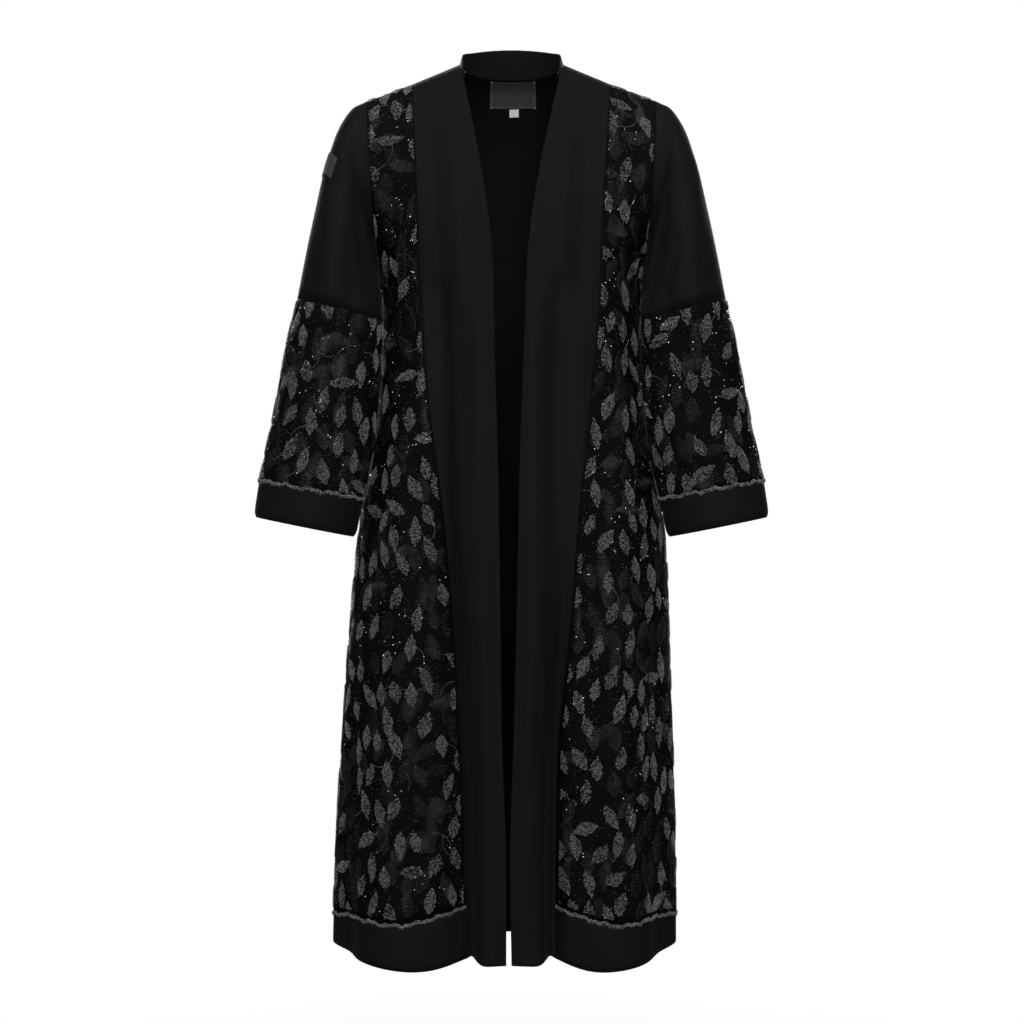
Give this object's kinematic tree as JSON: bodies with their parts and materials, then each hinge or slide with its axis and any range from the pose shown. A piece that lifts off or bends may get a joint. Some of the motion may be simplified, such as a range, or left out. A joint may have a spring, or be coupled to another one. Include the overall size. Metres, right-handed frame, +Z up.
{
  "type": "abaya cloak, open-fronted embellished long coat",
  "caption": "Long open-fronted abaya coat, hollow as worn, with wide sleeves, embellished side fronts and lower sleeves, and a standing neck band.",
  "frame": {"origin": "midway between the neck points of the two shoulder seams, where the wearer's shoulders carry the coat", "axes": "+Z up, +X towards the wearer's left, the open front faces -Y"},
  "size_m": [0.7072, 0.3074, 1.2789],
  "materials": {
    "black_crepe": "matte black crepe with a soft sheen",
    "beaded_net": "black ground with grey beaded leaves, black cording and scattered silver sequins",
    "bead_edging": "narrow grey beaded edging",
    "woven_label": "dark grey woven label, bare",
    "white_tape": "white woven tab, bare"
  },
  "bodies": {
    "root": {"front_left": "black_crepe", "front_right": "black_crepe", "side_front_left": "beaded_net", "side_front_right": "beaded_net", "hem_band_left": "black_crepe", "hem_band_right": "black_crepe", "back": "black_crepe", "collar": "black_crepe", "sleeve_upper_left": "black_crepe", "sleeve_upper_right": "black_crepe", "sleeve_lower_left": "beaded_net", "sleeve_lower_right": "beaded_net", "cuff_left": "black_crepe", "cuff_right": "black_crepe", "hem_trim_left": "bead_edging", "hem_trim_right": "bead_edging", "cuff_trim_left": "bead_edging", "cuff_trim_right": "bead_edging", "neck_label": "woven_label", "size_tag": "white_tape", "sleeve_label": "woven_label"}
  },
  "joints": []
}
